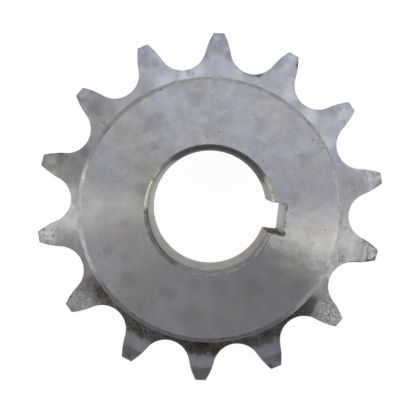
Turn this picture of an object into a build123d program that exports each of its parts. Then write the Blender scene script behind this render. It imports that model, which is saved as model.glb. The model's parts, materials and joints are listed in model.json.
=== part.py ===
from build123d import *
from math import acos, atan2, cos, degrees, hypot, radians, sin, sqrt
import os

# Roller-chain sprocket with a hub on one side, machined from one piece of steel bar.
# The model follows the work: a blank is turned, its edges and bore are finished, the
# tooth gaps are hobbed and the keyway is broached.
#
# Frame: bore axis on Z, flat back of the toothed plate on z = 0, hub pointing up,
# keyway on +X. Lengths are in millimetres and angles in degrees.

# Chain that runs on the teeth (5/8 inch pitch)
pitch = 15.875
roller_dia = 10.16

# Toothed plate
tooth_count = 14
plate_thickness = 8.7
tip_dia = 76.9
seating_angle = 129.2        # how far a seating arc wraps round its roller
relief_reach = 3.1           # the tooth tips thin down over this much radius
relief_depth = 1.1           # and lose this much from each side

# Hub
hub_dia = 54.7
overall_length = 25.4        # back of the plate to the face of the hub
hub_chamfer = 0.9
hub_root_radius = 0.4        # nose of the turning tool, left where the hub meets the plate

# Bore and keyway
bore_dia = 25.4
bore_chamfer = 0.8
key_width = 6.35
key_depth = 3.175            # height of the keyway's side walls
key_corner_radius = 0.3
keyway_to_gap = 3.7          # turn from the keyway to the middle of the nearest tooth gap

# The hob runs past the tips, so that each gap is cut clean through
cutter_overrun = 1.0

# Sizes that follow from the ones above. The tooth form is the standard one for chain.
pitch_radius = pitch / (2 * sin(radians(180 / tooth_count)))
root_radius = pitch_radius - roller_dia / 2
seating_radius = 0.505 * roller_dia + 0.069 * roller_dia ** (1 / 3)
flank_radius = 0.12 * roller_dia * (tooth_count + 2)
side_radius = pitch
tip_radius = tip_dia / 2
relief_radius = tip_radius - relief_reach
hub_radius = hub_dia / 2
bore_radius = bore_dia / 2
key_floor = sqrt(bore_radius**2 - (key_width / 2) ** 2) + key_depth


# ----- Profile of one tooth gap, opening along +X -----------------------------------------
# A roller beds in the seating arc. A convex flank leaves each end of that arc
# tangentially, centred on the tooth's side, and runs out past the tips.
flank_angle = seating_angle / 2
seat_x = root_radius + seating_radius
flank_x = seat_x - (seating_radius + flank_radius) * cos(radians(flank_angle))
flank_y = (seating_radius + flank_radius) * sin(radians(flank_angle))

# A flank ends on the circle of the hob's overrun. The sides of the triangle between the
# bore axis, the flank's centre and that end are known, so its corner gives the sweep.
gap_reach = tip_radius + cutter_overrun
centre_reach = hypot(flank_x, flank_y)
corner = degrees(
    acos((centre_reach**2 + flank_radius**2 - gap_reach**2) / (2 * centre_reach * flank_radius))
)
flank_sweep = corner + degrees(atan2(flank_y, flank_x)) - (180 - flank_angle)

with BuildSketch() as tooth_gap:
    with BuildLine():
        CenterArc((seat_x, 0), seating_radius, 180 - flank_angle, seating_angle)
        flank = CenterArc((flank_x, flank_y), flank_radius, -flank_angle, flank_sweep)
        other_flank = mirror(flank, about=Plane.XZ)
        ThreePointArc(flank @ 1, (gap_reach, 0), other_flank @ 1)
    make_face()


with BuildPart() as chain_sprocket:
    # Turned blank: half section through the plate and the hub. The two side arcs bulge
    # outwards and narrow the rim, so that the chain finds its way onto the teeth.
    with BuildSketch(Plane.XZ):
        with BuildLine():
            rim = Line((tip_radius, relief_depth), (tip_radius, plate_thickness - relief_depth))
            front_side = RadiusArc(rim @ 1, (relief_radius, plate_thickness), side_radius)
            back_side = RadiusArc((relief_radius, 0), rim @ 0, side_radius)
            Polyline(
                front_side @ 1,
                (hub_radius, plate_thickness),
                (hub_radius, overall_length),
                (0, overall_length),
                (0, 0),
                back_side @ 0,
            )
        make_face()
    revolve(axis=Axis.Z)

    hub_root = (
        chain_sprocket.edges()
        .filter_by(GeomType.CIRCLE)
        .filter_by_position(Axis.Z, plate_thickness, plate_thickness)
        .sort_by(SortBy.RADIUS)[0]
    )
    fillet(hub_root, hub_root_radius)

    hub_face = chain_sprocket.faces().sort_by(Axis.Z)[-1]
    chamfer(hub_face.edges(), hub_chamfer)

    # Through bore, with its mouth chamfered at both ends
    Hole(bore_radius)
    bore_wall = chain_sprocket.faces().filter_by(GeomType.CYLINDER).sort_by(SortBy.RADIUS)[0]
    chamfer(bore_wall.edges().filter_by(GeomType.CIRCLE), bore_chamfer)

    # Hobbed tooth gaps. They stay outside the hub, so only the plate's depth is cut.
    with BuildSketch():
        with PolarLocations(0, tooth_count, start_angle=keyway_to_gap):
            add(tooth_gap.sketch)
    extrude(amount=plate_thickness, mode=Mode.SUBTRACT)

    # Keyway, broached through the whole length. Its depth is measured where a side wall
    # meets the bore, and the broach leaves a small radius in both floor corners.
    with BuildSketch() as keyway:
        Rectangle(key_floor, key_width, align=(Align.MIN, Align.CENTER))
        fillet(keyway.vertices().group_by(Axis.X)[-1], key_corner_radius)
    extrude(amount=overall_length, mode=Mode.SUBTRACT)


chain_sprocket.part.label = "chain_sprocket"

os.makedirs("parts", exist_ok=True)
export_step(chain_sprocket.part, "parts/chain_sprocket.step")
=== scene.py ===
# %% [markdown]
# # A roller-chain sprocket, dressed for the camera
#
# The real part is one piece of steel bar. It was turned in a lathe, bored, hobbed to make
# its teeth and broached to make its keyway, and each of those cuts leaves its own finish.
# This lesson loads the finished solid as a fixed frame, builds a finer skin over it whose
# edges are softly broken, as a file leaves them, and gives every cut its own steel.

# %% Load the solid
import json

import bpy
import numpy as np
from mathutils import Matrix, Vector


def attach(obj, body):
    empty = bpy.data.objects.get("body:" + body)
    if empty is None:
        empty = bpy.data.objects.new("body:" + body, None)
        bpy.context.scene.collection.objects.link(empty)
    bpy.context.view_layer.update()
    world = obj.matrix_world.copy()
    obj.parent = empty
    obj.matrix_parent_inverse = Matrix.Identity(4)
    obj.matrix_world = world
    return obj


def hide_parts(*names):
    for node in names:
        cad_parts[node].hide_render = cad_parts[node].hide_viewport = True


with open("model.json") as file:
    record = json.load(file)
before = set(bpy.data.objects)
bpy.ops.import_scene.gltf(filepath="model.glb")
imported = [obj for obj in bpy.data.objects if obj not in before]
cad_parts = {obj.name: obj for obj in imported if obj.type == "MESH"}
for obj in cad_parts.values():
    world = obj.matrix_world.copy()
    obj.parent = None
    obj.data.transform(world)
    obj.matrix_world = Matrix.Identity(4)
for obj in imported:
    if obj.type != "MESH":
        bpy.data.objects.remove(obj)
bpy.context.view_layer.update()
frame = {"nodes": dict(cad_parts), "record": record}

# %% [markdown]
# ## Sizes
#
# The bore, the hub's height and the tooth tips are read from the solid itself. The rest are
# the sizes that a drawing of this part would give. Everything is in metres, so a size in
# millimetres is written as a number times MM.

# %% Sizes
MM = 0.001
solid = frame["nodes"]["chain_sprocket"]
corners = np.array([v.co for v in solid.data.vertices])
mounts = {m["name"]: m for m in frame["record"]["mounts"]}

length = corners[:, 2].max()
tip_radius = np.hypot(corners[:, 0], corners[:, 1]).max()
bore_radius = mounts["bore"]["dims"]["r_mm"] * MM

pitch = 15.875 * MM
roller = 10.16 * MM
teeth = 14
plate = 8.7 * MM
seating_angle = np.radians(129.2)
relief_reach = 3.1 * MM
relief_depth = 1.1 * MM
hub_radius = 27.35 * MM
hub_root = 0.4 * MM
bore_chamfer = 0.8 * MM
key_width = 6.35 * MM
key_depth = 3.175 * MM
keyway_to_gap = np.radians(3.7)

relief_radius = tip_radius - relief_reach
key_floor = np.sqrt(bore_radius**2 - (key_width / 2) ** 2) + key_depth
print(f"tips {2e3 * tip_radius:.1f} mm across, {1e3 * length:.1f} mm long, bore {2e3 * bore_radius:.1f} mm")

# %% [markdown]
# ## The camera
#
# The sprocket lies on its back with the hub up, and the camera looks down on it from a
# little off its axis. A long lens keeps the hub from hiding too much of the teeth. Its
# focal length is given in pixels, because the ratio of that to the width of the picture
# says how much the camera sees, whatever size its sensor is.
#
# Directions across the picture are worth naming once: the keyway points a little below
# the right-hand side, so the picture's own right and up are the part's X and Y turned by
# that small angle.

# %% Camera
keyway_below_right = np.radians(6.8)
cam_right = 0.1 * MM
cam_up = 7.9 * MM
aim_right = 0.05 * MM
aim_up = 0.05 * MM
cam_height = 256.4 * MM
FOCAL_PX = 1126
FRAME_PX = 420
SENSOR = 36.0
NEAREST_SEEN = 0.01

across = Vector((np.cos(keyway_below_right), np.sin(keyway_below_right), 0))
upward = Vector((-np.sin(keyway_below_right), np.cos(keyway_below_right), 0))
above = Vector((0, 0, 1))


def in_picture(right, up, height):
    """A place given as steps to the picture's right, to its top and towards the camera."""
    return across * right + upward * up + above * height


def look_at(place, target, top):
    """The matrix of an object at place whose -Z points at target and whose Y leans to top."""
    ahead = (target - place).normalized()
    side = ahead.cross(top).normalized()
    rows = Matrix((side, side.cross(ahead), -ahead)).transposed().to_4x4()
    return Matrix.Translation(place) @ rows


camera = bpy.data.objects.new("camera", bpy.data.cameras.new("camera"))
bpy.context.scene.collection.objects.link(camera)
bpy.context.scene.camera = camera
camera.data.sensor_width = SENSOR
camera.data.lens = FOCAL_PX / FRAME_PX * SENSOR
camera.data.clip_start = NEAREST_SEEN
camera.matrix_world = look_at(in_picture(cam_right, cam_up, cam_height),
                              in_picture(aim_right, aim_up, length), upward)
print(f"lens {camera.data.lens:.1f} mm, {1000 * cam_height:.0f} mm above the floor")

# %% [markdown]
# ## Outline of the teeth
#
# Each gap holds a roller in a seating arc. A convex flank leaves each end of that arc and
# runs to the tip. The outline could be drawn as a curve and turned into a mesh, but the
# standard gives it as circles that touch, so it is worked out from pitch and roller. One
# half gap is enough: it runs from a gap's middle to the middle of a tooth. The bare numbers
# in the seating radius and in the flank radius are the standard's own.

# %% One half gap
SEAT_POINTS = 16
FLANK_POINTS = 16
TIP_POINTS = 5

pitch_radius = pitch / (2 * np.sin(np.pi / teeth))
seat_radius = 0.505 * roller + 0.069 * MM * (roller / MM) ** (1 / 3)
seat_centre = pitch_radius - roller / 2 + seat_radius
flank_radius = 0.12 * roller * (teeth + 2)


def half_gap():
    """Angle and radius from a gap's middle to a tooth's middle.

    The seating arc is a circle about the roller's place. The flank is a circle that touches
    it from outside, cut off at the tip circle, and the tip land is a piece of that circle.
    """
    lean = seating_angle / 2
    turn = np.linspace(0, lean, SEAT_POINTS)
    x_seat = seat_centre - seat_radius * np.cos(turn)
    y_seat = seat_radius * np.sin(turn)
    far = seat_radius + flank_radius
    x_mid = seat_centre - far * np.cos(lean)
    y_mid = far * np.sin(lean)
    reach = np.hypot(x_mid, y_mid)
    corner = np.arccos((reach**2 + flank_radius**2 - tip_radius**2) / (2 * reach * flank_radius))
    sweep = corner + np.arctan2(y_mid, x_mid) - np.pi + lean
    turn = np.linspace(0, sweep, FLANK_POINTS + 1)[1:] - lean
    x_flank = x_mid + flank_radius * np.cos(turn)
    y_flank = y_mid + flank_radius * np.sin(turn)
    x = np.append(x_seat, x_flank)
    y = np.append(y_seat, y_flank)
    angle = np.arctan2(y, x)
    radius = np.hypot(x, y)
    land = np.linspace(angle[-1], np.pi / teeth, TIP_POINTS + 1)[1:]
    return np.append(angle, land), np.append(radius, np.full(TIP_POINTS, tip_radius))


half_angle, half_radius = half_gap()
print(f"root circle {2e3 * half_radius[0]:.1f} mm, tip circle {2e3 * half_radius[-1]:.1f} mm across")

# %% [markdown]
# The half gap is mirrored about the gap's middle and repeated for every tooth. All the
# angles come out of one addition of two arrays, so there is no loop over the teeth.

# %% All the gaps
gap_angle = np.concatenate([-half_angle[:0:-1], half_angle[:-1]])
gap_radius = np.concatenate([half_radius[:0:-1], half_radius[:-1]])
starts = keyway_to_gap + np.arange(teeth) * 2 * np.pi / teeth
outline_angle = (starts[:, None] + gap_angle).ravel()
outline_radius = np.tile(gap_radius, teeth)
around = len(outline_angle)
outline = np.stack([outline_radius * np.cos(outline_angle), outline_radius * np.sin(outline_angle)], 1)
print(around, "points round the teeth")

# %% [markdown]
# ## Outline of the hole
#
# The hole is the bore with the keyway cut out of its right-hand side. Its outline is one
# closed line with as many points as the teeth have, so that one grid can run from the hole
# to the teeth. It is asked for with a wider bore where the bore's edge is countersunk, and
# the flat walls of the keyway then start further out, as they do on the real part.

# %% Half the hole
FLOOR_POINTS = 44
CORNER_POINTS = 6
WALL_POINTS = 20
ARRIS_POINTS = 4
key_corner = 0.3 * MM
arris = 0.18 * MM


def half_hole(bore, grown):
    """From the middle of the keyway's floor to the far side of the bore, with y positive.

    The floor is straight, its corner is a quarter circle, and the wall is straight. Where
    the wall meets the bore, a parabola rounds the corner off. The bore is an arc. grown is
    how much wider and deeper than its true size the keyway is.
    """
    half = key_width / 2 + grown
    bottom = key_floor + grown
    corner = key_corner + grown
    y = np.linspace(0, half - corner, FLOOR_POINTS // 2 + 1)
    floor = np.stack([np.full_like(y, bottom), y], 1)
    turn = np.linspace(0, np.pi / 2, CORNER_POINTS + 1)[1:, None]
    bend = [bottom, half] - corner * np.hstack([1 - np.cos(turn), 1 - np.sin(turn)])
    mouth = np.array([np.sqrt(bore**2 - half**2), half])
    x = np.linspace(bottom - corner, mouth[0] + arris, WALL_POINTS + 1)[1:]
    wall = np.stack([x, np.full_like(x, half)], 1)
    first = np.arctan2(mouth[1], mouth[0]) + arris / bore
    start = bore * np.array([np.cos(first), np.sin(first)])
    t = np.linspace(0, 1, ARRIS_POINTS + 1)[1:-1, None]
    rounding = (1 - t) ** 2 * wall[-1] + 2 * t * (1 - t) * mouth + t**2 * start
    left = around // 2 + 1 - len(floor) - len(bend) - len(wall) - len(rounding)
    turn = np.linspace(first, np.pi, left)[:, None]
    return np.concatenate([floor, bend, wall, rounding, bore * np.hstack([np.cos(turn), np.sin(turn)])])


print(len(half_hole(bore_radius, 0.0)), "points on half the hole")

# %% [markdown]
# The lower half is the mirror image of the upper one. The whole line starts at the point
# that faces the first point of the teeth's outline, because a grid whose two ends are
# twisted against each other would fold over itself. The keyway's floor has more points than
# it needs, which keeps its corners clear of such a fold.

# %% The whole hole
first_point = np.argmin(abs(outline_angle))


def hole(bore, grown=0.0):
    """The whole hole: the half above the keyway's middle, and its mirror image below."""
    half = half_hole(bore, grown)
    return np.roll(np.concatenate([half, half[-2:0:-1] * [1, -1]]), first_point, 0)


def normals_of(line):
    """The outward unit normals of a closed line that runs anticlockwise."""
    step = np.roll(line, -1, 0) - np.roll(line, 1, 0)
    return np.stack([step[:, 1], -step[:, 0]], 1) / np.linalg.norm(step, axis=1)[:, None]


hole_edge = hole(bore_radius)
hole_normal = normals_of(hole_edge)
outward = normals_of(outline)
past_bore = np.hypot(*hole_edge.T) - bore_radius
in_key = np.clip(past_bore / arris, 0, 1)
print("points in the keyway:", int((in_key > 0.5).sum()))

# %% [markdown]
# ## Section of the skin
#
# Cut the part along its axis and the cut is a closed line: up the bore, over the hub's face,
# down the hub, out across the plate, down the tooth and back underneath. The skin is that
# line carried round the axis. It could be a Spin, but the teeth and the keyway change the
# line as it goes round, so each ring of the grid is worked out for all angles at once.
#
# Every ring also carries two numbers for the finishes: how much dirt and painted shade lie
# in the edge there, and how strong a painted highlight it has.

# %% Collecting the rings
rings = []
bands = []
dark_rings = []
bright_rings = []


def add_rings(finish, xy, z, dark=0.0, bright=0.0):
    """Adds one ring per row of xy; z is one height per ring, or one per point.

    dark says how much dirt and painted shade each point has, bright how much painted highlight.
    """
    z = np.asarray(z, float)
    z = np.broadcast_to(z[:, None] if z.ndim == 1 else z, xy.shape[:2])
    rings.extend(np.concatenate([xy, z[..., None]], 2))
    bands.extend([finish] * len(xy))
    dark_rings.extend(np.broadcast_to(dark, xy.shape[:2]))
    bright_rings.extend(np.broadcast_to(bright, xy.shape[:2]))


def circles(radii):
    """One circle per radius, at the angles of the teeth's outline."""
    unit = np.stack([np.cos(outline_angle), np.sin(outline_angle)], 1)
    return np.asarray(radii)[:, None, None] * unit


def between(line_a, line_b, shares):
    """Lines that lie between two closed lines, at the given shares of the way."""
    shares = np.asarray(shares)[:, None, None]
    return (1 - shares) * line_a + shares * line_b


# %% [markdown]
# Every machined edge is broken a little. A Bevel modifier could do it, but it would bevel
# the gaps' crests as well and its width could not wander. A rounded corner costs only a few
# rings here, and it is what catches the light along the rims.

# %% Rounded corners
EDGE_STEPS = 3


def rounded(corner_list, radius_list, steps):
    """A bent line with each inner corner replaced by an arc that touches both its sides.

    The arc is drawn as the parabola of the same tangents, which is the same thing at this
    size. It starts radius times the tangent of half the turn before the corner.
    """
    p = np.array(corner_list)
    out = [p[:1]]
    for before, at, after, radius in zip(p[:-2], p[1:-1], p[2:], radius_list):
        a = (before - at) / np.linalg.norm(before - at)
        b = (after - at) / np.linalg.norm(after - at)
        reach = radius * np.tan(0.5 * np.arccos(np.clip(-a @ b, -1, 1)))
        t = np.linspace(0, 1, steps + 1)[:, None]
        out.append((1 - t) ** 2 * (at + reach * a) + 2 * t * (1 - t) * at + t**2 * (at + reach * b))
    return np.concatenate(out + [p[-1:]])


# %% [markdown]
# ## Wear on the edges
#
# A file or a wire wheel breaks the edges by hand, so their width wanders. A sum of sine
# waves round the part, with fixed phases, gives each edge its own slow wandering. Knocks in
# the store and on the shaft then leave chips: short places where the edge is broken deeper.
# A chip is a bell curve of the distance from its middle, so it needs no mesh of its own.

# %% Wandering and chips
rng = np.random.default_rng(14)
WAVES = 60


def wander(slow, fast, turn=outline_angle):
    """A value from about -1 to 1 for each point around, made of waves slow to fast per turn."""
    waves = rng.integers(slow, fast, WAVES)
    phases = rng.uniform(0, 2 * np.pi, WAVES)
    return np.sin(turn[:, None] * waves + phases).sum(1) / np.sqrt(2 * WAVES)


def at_places(line, places):
    """For each point of a line, the deepest of the listed chips there, as a bell curve.

    A chip is an angle below the picture's right, a radius, a half length and a depth, in mm.
    """
    angle, radius, size, depth = np.array(places, float).T
    turn = keyway_below_right - np.radians(angle)
    middle = MM * radius[:, None] * np.stack([np.cos(turn), np.sin(turn)], 1)
    gap = np.linalg.norm(line[:, None] - middle, axis=2) / (MM * size)
    return (depth * np.exp(-(gap**2))).max(1)


# %% [markdown]
# Most of the chips sit at the corners of the teeth's tips, which stand out furthest. A
# chip's side must stay less steep than the flank it is cut in, or the grid would fold over
# itself there, so the chips are shallow and the dirt in them does the rest.

# %% Chipped teeth
BREAK_MM = 0.08
SWING_MM = 0.03
tooth_chips = [(12.2, 37.4, 0.7, 0.21), (12.6, 38.2, 0.5, 0.21), (13.0, 35.4, 0.9, 0.15),
               (19.0, 37.3, 0.6, 0.24), (20.2, 33.6, 0.7, 0.18), (21.5, 35.2, 0.8, 0.18),
               (45.2, 37.6, 0.6, 0.18), (64.0, 37.6, 0.5, 0.15), (88.8, 37.9, 0.5, 0.15),
               (122.6, 38.2, 0.6, 0.21), (148.5, 37.0, 0.8, 0.18), (172.6, 37.6, 0.6, 0.072),
               (199.5, 37.8, 0.6, 0.24), (200.4, 34.8, 1.0, 0.21), (236.0, 36.4, 0.6, 0.12),
               (262.5, 31.6, 0.5, 0.12), (285.0, 31.3, 0.8, 0.18), (301.5, 36.8, 0.8, 0.18),
               (303.8, 32.7, 0.4, 0.18), (330.2, 34.4, 0.6, 0.12), (352.5, 37.4, 0.6, 0.06)]
tooth_chip = at_places(outline, tooth_chips) * MM
tooth_break = (BREAK_MM + SWING_MM * np.clip(wander(10, 90), -1.5, 2)) * MM + tooth_chip
print(f"edge breaks on the teeth: {1e3 * tooth_break.min():.2f} to {1e3 * tooth_break.max():.2f} mm")

# %% [markdown]
# The rims of the hub and the edge of the keyway are broken more evenly. The hub's rims have
# small nicks all round, at places drawn once by the seeded generator.

# %% Rims and nicks
KEY_SWING_MM = 0.04
NICKS = 46
INNER_SHARE = 0.6
rim_break = 0.12 * MM
key_break = 0.14 * MM
key_wander = KEY_SWING_MM * wander(60, 220) * MM
nick_turn = rng.uniform(0, 2 * np.pi, NICKS)
nick_size = rng.uniform(0.10, 0.35, NICKS) * MM
nick_depth = rng.uniform(0.02, 0.09, NICKS) * MM
nick_inner = rng.uniform(0, 1, NICKS) < INNER_SHARE
print(int(nick_inner.sum()), "nicks on the hub's inner rim,", int((~nick_inner).sum()), "on its outer one")

# %% [markdown]
# ## The hole's upper edge
#
# The bore's chamfer was eased by hand after it was cut, so its section is crowned: gentle
# where it leaves the face, steep where it meets the wall. It is drawn as two straight lines
# with a wide rounding between them. The keyway was broached after the chamfer was cut, so
# its own edge is only broken, and unevenly.

# %% The mouth's section
support = 0.12 * MM
FIRST_SUPPORT = 1
LAST_SUPPORT = 3
CROWN = 0.34
crown_radius = 1.2 * MM


def hole_mouth(face, width):
    """Rings from the wall of the hole to the flat face, for a face that looks up.

    Round the bore the section is the crowned chamfer. In the keyway there is no chamfer:
    the wall goes straight up to the face and its edge is a small rounding. width scales the
    section at each point around, about the hole's sharp edge.
    """
    foot = face - bore_chamfer
    edge = bore_radius + bore_chamfer
    cone = rounded([(bore_radius, foot - support), (bore_radius, foot),
                    (bore_radius + CROWN * bore_chamfer, face - CROWN * bore_chamfer),
                    (edge, face), (edge + FIRST_SUPPORT * support, face)],
                   [rim_break, crown_radius, rim_break], EDGE_STEPS)
    cone = np.append(cone, [[edge + LAST_SUPPORT * support, face]], 0)
    quarter = np.linspace(0, np.pi / 2, EDGE_STEPS + 1)
    straight = np.linspace(foot - support, face - key_break, len(cone) - len(quarter) - 1)[:-1]
    grown = np.concatenate([np.zeros(len(straight)), key_break * (1 - np.cos(quarter)),
                            key_break + support * np.array([FIRST_SUPPORT, LAST_SUPPORT])])
    wall = np.concatenate([straight, face - key_break * (1 - np.sin(quarter)), [face, face]])
    xy = np.stack([hole(r, g) for r, g in zip(cone[:, 0], grown)])
    torn = np.clip(grown / key_break, 0, 1)[:, None] * key_wander * in_key
    torn[-1] = 0
    xy = xy + torn[..., None] * hole_normal
    z = in_key * wall[:, None] + (1 - in_key) * cone[:, 1:]
    xy[:-1] = hole_edge + width[:, None] * (xy[:-1] - hole_edge)
    return xy, face - width * (face - z)


# %% [markdown]
# The keyway's edge has been knocked out where keys went in, above all at its lower corner.
# The marks are listed like the chips, and between them the edge is nearly sharp. Where the
# keyway opens into the bore, the chamfer fades over a short taper.

# %% The worn keyway edge
key_taper = 0.65 * MM
SHARP_WIDTH = 0.3
key_marks = [(-9.5, 13.3, 0.4, 0.5), (-6.5, 14.2, 0.6, 0.12), (-2.6, 15.75, 0.55, 1.0),
             (-1.0, 15.65, 0.5, 0.9), (1.2, 15.6, 0.4, 0.6), (4.5, 15.5, 0.5, 0.3),
             (9.4, 15.5, 0.4, 0.8), (12.0, 15.5, 0.35, 0.7), (17.3, 15.8, 0.5, 1.0),
             (18.6, 15.0, 0.9, 0.9), (21.5, 13.7, 1.0, 0.8)]
key_mark = at_places(hole_edge, key_marks)
mouth_turn = np.arctan2(*hole_edge.T[::-1])
key_share = np.clip(past_bore / key_taper, 0, 1)
key_edge_width = SHARP_WIDTH + (1 - SHARP_WIDTH) * key_mark
chamfer_width = 1 + 0.03 * wander(6, 60, mouth_turn)
mouth_width = key_share * key_edge_width + (1 - key_share) * chamfer_width
mouth_xy, mouth_z = hole_mouth(length, mouth_width)
print(f"the mouth is {mouth_width.min():.2f} to {mouth_width.max():.2f} of its full width")

# %% [markdown]
# ## Painted highlights, shade and grime on the hole's edge
#
# The chamfer's outer lip carries a painted highlight, in dashes on its lower side and in
# points on its left, and painted shade with some dark grime elsewhere. Both are only numbers
# on the grid's points, strongest at the lip, and the finishes turn them into bright and dark
# colour. A noise texture could not follow so thin a line.

# %% The chamfer's lip
lip_reach = 0.16 * MM


def near(profile, corner, reach):
    """For each point of a section, how near it is to one of its corners, as a bell curve."""
    gap = np.linalg.norm(profile - np.array(corner), axis=1) / reach
    return np.exp(-(gap**2))[:, None]


far_side = (first_point + around // 2) % around
mouth_section = np.stack([np.hypot(*mouth_xy[:, far_side].T), mouth_z[:, far_side]], 1)
lip = near(mouth_section, (bore_radius + bore_chamfer, length), lip_reach)
lip[-2:] = 0
print("nearness to the lip, ring by ring:", lip[:, 0].round(2))

# %% [markdown]
# Each side of the lip gets its own strength. A window is 1 between two angles, and a wander
# clipped to the range from 0 to 1 is a row of dashes. Their product is a dashed line along
# one side.

# %% Painted highlights and shade on the lip
grime_depth = 0.25 * MM


def window(turn, start, stop, soft=5.0):
    """1 from start to stop, in degrees below the picture's right, with soft ends inside it."""
    past = (np.degrees(keyway_below_right - turn) - start) % 360
    return np.clip(np.minimum(past, stop - start - past) / soft, 0, 1)


def near_face(z):
    """1 at the upper face, falling to 0 at grime_depth below it."""
    return np.clip(1 - (length - z) / grime_depth, 0, 1)


# Painted highlights along the lip; painted shade, with some grime, on its other sides.
dashes = np.clip(3 * wander(20, 110, mouth_turn) - 0.2, 0, 1)
dashes = dashes * np.clip(2 * wander(90, 420, mouth_turn) + 0.7, 0, 1)
highlight_points = np.clip(3 * wander(120, 400, mouth_turn) - 1.2, 0, 1)
lip_highlight = window(mouth_turn, 47, 112) * dashes * np.clip(1.5 * wander(8, 40, mouth_turn) + 0.8, 0, 1)
lip_highlight = lip_highlight + 0.8 * window(mouth_turn, 172, 218) * highlight_points
lip_shade_and_grime = (0.85 * window(mouth_turn, 118, 184) * (0.5 + 0.5 * dashes)
         + 0.8 * window(mouth_turn, 20, 46)
         + 0.7 * window(mouth_turn, 222, 336) * (0.4 + 0.6 * dashes)
         + 0.9 * window(mouth_turn, 338, 353) * (0.2 + 0.8 * dashes))
key_grime = in_key * key_mark * (0.8 + 0.4 * wander(80, 300, mouth_turn)).clip(0, 1) * near_face(mouth_z)
upper_arris = 4 * in_key * (1 - in_key) * (hole_edge[:, 1] > 0)
key_grime = key_grime + upper_arris * dashes * near_face(mouth_z)
key_grime[-1] = 0
print(f"burr on {(lip_highlight > 0.1).mean():.0%} of the lip, grime on {(lip_shade_and_grime > 0.1).mean():.0%}")

# %% [markdown]
# The mouth's rings now go into the skin. Its last two rings already lie in the flat face, so
# the faces beyond them get the face's finish and not the chamfer's.

# %% The mouth's rings
add_rings("hole mouth", mouth_xy, mouth_z, lip * (1 - in_key) * lip_shade_and_grime + key_grime, lip * (1 - in_key) * lip_highlight)
bands[-2:] = ["face"] * 2
print(len(rings), "rings so far")

# %% [markdown]
# ## The hub's face and edge
#
# The face is flat, so a few rings carry it from the hole to the hub's rim. The rim's chamfer
# was eased with a hand tool, wider than it is deep. It ends at the hub's side, which meets
# the plate in a small fillet. All of that is one bent line with rounded corners, and a few
# more rings on the slope let it carry scratches of its own.

# %% The hub's section
FACE_RINGS = 6
hub_eased = 0.8 * MM
hub_slope = 0.5
fillet_run = 3 * hub_root
slope_shares = np.array([0.14, 0.36, 0.64, 0.86])[:, None]

hub_edge = hub_radius - hub_eased
hub_corner = (hub_radius, length - hub_slope * hub_eased)
hub_profile = rounded([(hub_edge - support, length), (hub_edge, length), hub_corner,
                       (hub_radius, plate), (hub_radius + fillet_run, plate)],
                      [rim_break, rim_break, hub_root], EDGE_STEPS)
on_slope = EDGE_STEPS + 2
slope_start, slope_stop = hub_profile[on_slope - 1], hub_profile[on_slope]
slope_points = (1 - slope_shares) * slope_start + slope_shares * slope_stop
hub_profile = np.insert(hub_profile, on_slope, slope_points, 0)
face_shares = np.linspace(0, 1, FACE_RINGS + 1)[1:]
rim_start = circles(hub_profile[:1, 0])[0]
add_rings("face", between(mouth_xy[-1], rim_start, face_shares), np.full(FACE_RINGS, length))
print(len(rings), "rings so far")

# %% [markdown]
# ## Painted highlights and dirt on the rims
#
# Both corners of the chamfer, and the slope between them, carry painted highlights in
# strokes on some sides. Nicks hold dirt.
# These are again numbers on the points: a bell curve across the section times a wandering
# value round the part.

# %% Painted highlights and dirt on the hub's rims
tiny = 0.01 * MM
inner_reach = 0.13 * MM
outer_reach = 0.16 * MM
slope_reach = 0.5 * MM
full_nick = 0.06 * MM


def nicks(turn, radius, chosen):
    """Depth of a rim's small nicks at each point around, as bell curves along the rim."""
    gap = np.angle(np.exp(1j * (turn[:, None] - nick_turn[chosen]))) * radius
    return (nick_depth[chosen] * np.exp(-((gap / nick_size[chosen]) ** 2))).sum(1)


def strokes_round(threshold):
    """Broken strokes round a rim, for its painted highlights: long ones cut up by short ones."""
    long_strokes = np.clip(2 * wander(12, 80) + threshold, 0, 1)
    return long_strokes * np.clip(1.5 * wander(60, 300) + 0.8, 0, 1)


split = int(np.argmax(hub_profile[:, 1] < plate + hub_root + tiny))
rim = hub_profile[1:split]
inner = near(rim, (hub_edge, length), inner_reach)
outer = near(rim, hub_corner, outer_reach)
slope = near(rim, (slope_start + slope_stop) / 2, slope_reach)
inner_nicks = nicks(outline_angle, hub_edge, nick_inner)
outer_nicks = nicks(outline_angle, hub_radius, ~nick_inner)
sunk = inner * (np.arange(len(rim)) > 0)[:, None]

# Painted highlights: bright strokes on the rims' corners and slope, on the listed sides.
inner_strokes = strokes_round(0.5)
outer_strokes = strokes_round(-0.1)
inner_sides = (window(outline_angle, 150, 204) + window(outline_angle, 318, 410, 8)
               + 0.6 * window(outline_angle, 258, 318))
outer_sides = (window(outline_angle, 150, 192) + 1.1 * window(outline_angle, 8, 62, 10)
               + 0.8 * window(outline_angle, 236, 332, 8))
slope_sides = (window(outline_angle, 149, 175, 9) + window(outline_angle, 187, 203, 5)
               + 0.4 * window(outline_angle, 10, 58, 14))
rim_glint = inner * inner_strokes * inner_sides + outer * outer_strokes * outer_sides
rim_glint = rim_glint + slope * np.clip(0.6 + 0.4 * wander(12, 90), 0.1, 1) * slope_sides
rim_dirt = (inner * inner_nicks + outer * outer_nicks) / full_nick
print(f"nicks up to {1e3 * max(inner_nicks.max(), outer_nicks.max()):.2f} mm deep")

# %% [markdown]
# ## The hub's side
#
# The rim's rings are pulled in at the nicks. Below it the side is a plain cylinder, and four
# rings keep its faces from being too tall.

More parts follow.
